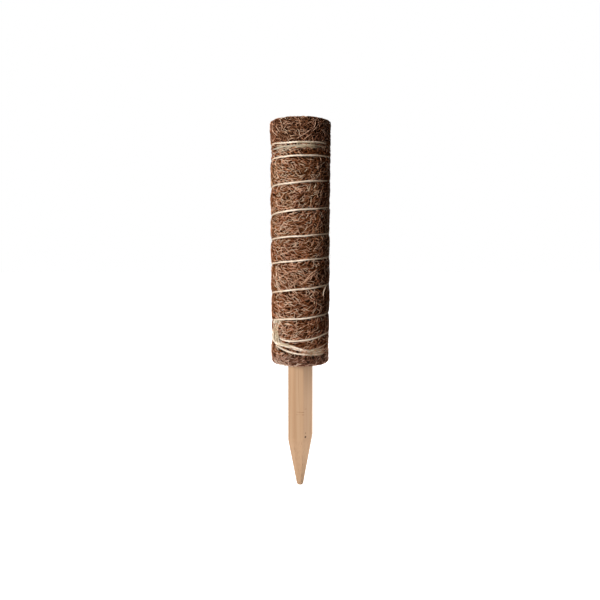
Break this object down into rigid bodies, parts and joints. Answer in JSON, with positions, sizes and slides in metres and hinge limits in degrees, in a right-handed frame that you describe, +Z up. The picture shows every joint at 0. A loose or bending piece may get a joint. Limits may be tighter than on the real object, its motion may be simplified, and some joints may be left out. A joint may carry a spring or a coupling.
{
  "type": "moss pole",
  "caption": "Upright plant support: a coir-wrapped column bound with spiral twine on a pointed wooden stake, with a hollow top that takes the stake of another pole.",
  "frame": {"origin": "on the pole's axis at the soil line, in the plane of the coir's lower end", "axes": "+Z up along the pole, -Y towards the front as pictured, +X to the right of the front"},
  "size_m": [0.0484, 0.0498, 0.3],
  "materials": {
    "stake_wood": "matte",
    "tube_plastic": "satin",
    "nail_steel": "satin",
    "coir_fibre": "matte",
    "twine_fibre": "matte"
  },
  "bodies": {
    "root": {"wooden_stake": "stake_wood", "core_tube": "tube_plastic", "stake_nail_lower": "nail_steel", "stake_nail_upper": "nail_steel", "coir_mat": "coir_fibre", "twine_wrap": "twine_fibre", "twine_tie_off": "twine_fibre", "twine_top_hitch": "twine_fibre"}
  },
  "joints": []
}
